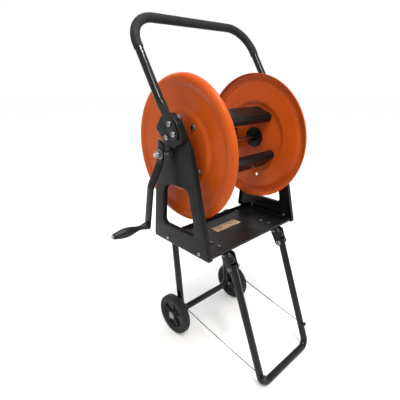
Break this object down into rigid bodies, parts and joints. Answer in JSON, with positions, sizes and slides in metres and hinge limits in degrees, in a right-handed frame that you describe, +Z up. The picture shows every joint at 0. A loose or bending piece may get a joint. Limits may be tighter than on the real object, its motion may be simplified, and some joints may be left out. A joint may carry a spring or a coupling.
{
  "type": "hand-cranked cable reel stand",
  "caption": "Hand-cranked flanged reel on a folding tubular stand with a U-shaped handle, transport wheels, a tray and a side crank.",
  "frame": {"origin": "centre of the overall box, on the ground under the wheels and the foot bar", "axes": "+X along the reel axis towards the side without the crank, +Y towards the wheels, +Z up"},
  "size_m": [0.603, 0.5049, 1.0102],
  "materials": {
    "black_paint": "semi-gloss black coating on steel",
    "orange_paint": "satin orange coating on pressed steel",
    "zinc_steel": "zinc-plated fasteners and turned steel",
    "grip_rubber": "matte foam-like rubber sleeve",
    "tyre_rubber": "solid black tyre",
    "black_plastic": "moulded black plastic",
    "tan_card": "plain tan adhesive label with no print"
  },
  "bodies": {
    "stand": {"side_plate_left": "black_paint", "side_plate_right": "black_paint", "handle_bracket_left": "black_paint", "handle_bracket_right": "black_paint", "handle_tube": "black_paint", "handle_sleeve": "grip_rubber", "handle_bolts": "zinc_steel", "handle_nuts": "zinc_steel", "tray_floor": "black_paint", "tray_label": "tan_card", "tray_bolts": "zinc_steel", "tray_nuts": "zinc_steel", "frame_rail_left": "black_paint", "frame_rail_right": "black_paint", "rear_frame_tube": "black_paint", "frame_plugs": "black_paint", "frame_bolts": "zinc_steel", "frame_nuts": "zinc_steel", "pivot_brackets": "black_paint", "pivot_rivets": "zinc_steel", "pivot_bolts": "zinc_steel", "pivot_nuts": "zinc_steel", "axle_rod": "zinc_steel", "axle_spacers": "zinc_steel", "axle_washers": "zinc_steel", "axle_caps": "zinc_steel", "shaft_bush_left": "black_plastic", "shaft_bush_right": "black_plastic", "cable_anchor_screws": "black_plastic", "brace_cable_left": "black_plastic", "brace_cable_right": "black_plastic"},
    "reel": {"flange_left": "orange_paint", "flange_right": "orange_paint", "drum_slat_1": "black_paint", "drum_slat_2": "black_paint", "drum_slat_3": "black_paint", "flange_bolts": "zinc_steel", "flange_nuts": "zinc_steel", "hub_left": "black_paint", "hub_right": "black_paint", "reel_shaft": "zinc_steel", "shaft_collar": "zinc_steel", "crank_arm": "black_paint", "crank_washer": "zinc_steel", "crank_nut": "zinc_steel", "grip_pin": "zinc_steel", "grip_nut": "zinc_steel"},
    "crank_handle": {"crank_grip": "black_plastic"},
    "wheel_left": {"wheel_left_tyre": "tyre_rubber", "wheel_left_hub": "black_plastic"},
    "wheel_right": {"wheel_right_tyre": "tyre_rubber", "wheel_right_hub": "black_plastic"},
    "front_stand": {"front_stand_tube": "black_paint", "cable_stop_knobs": "black_plastic"}
  },
  "joints": [
    {"name": "reel_spin", "type": "hinge", "parent": "stand", "child": "reel", "pos_m": [0.062, 0.05246, 0.6625], "axis": [1, 0, 0], "continuous": true},
    {"name": "crank_grip_spin", "type": "hinge", "parent": "reel", "child": "crank_handle", "pos_m": [-0.245, 0.09921, 0.45162], "axis": [1, 0, 0], "continuous": true},
    {"name": "wheel_left_spin", "type": "hinge", "parent": "stand", "child": "wheel_left", "pos_m": [-0.0864, 0.12286, 0.07], "axis": [1, 0, 0], "continuous": true},
    {"name": "wheel_right_spin", "type": "hinge", "parent": "stand", "child": "wheel_right", "pos_m": [0.2104, 0.12286, 0.07], "axis": [1, 0, 0], "continuous": true},
    {"name": "front_stand_fold", "type": "hinge", "parent": "stand", "child": "front_stand", "pos_m": [0.062, -0.11476, 0.34929], "axis": [1, 0, 0], "range_deg": [0, 55], "deforming": ["brace_cable_left", "brace_cable_right"]}
  ]
}
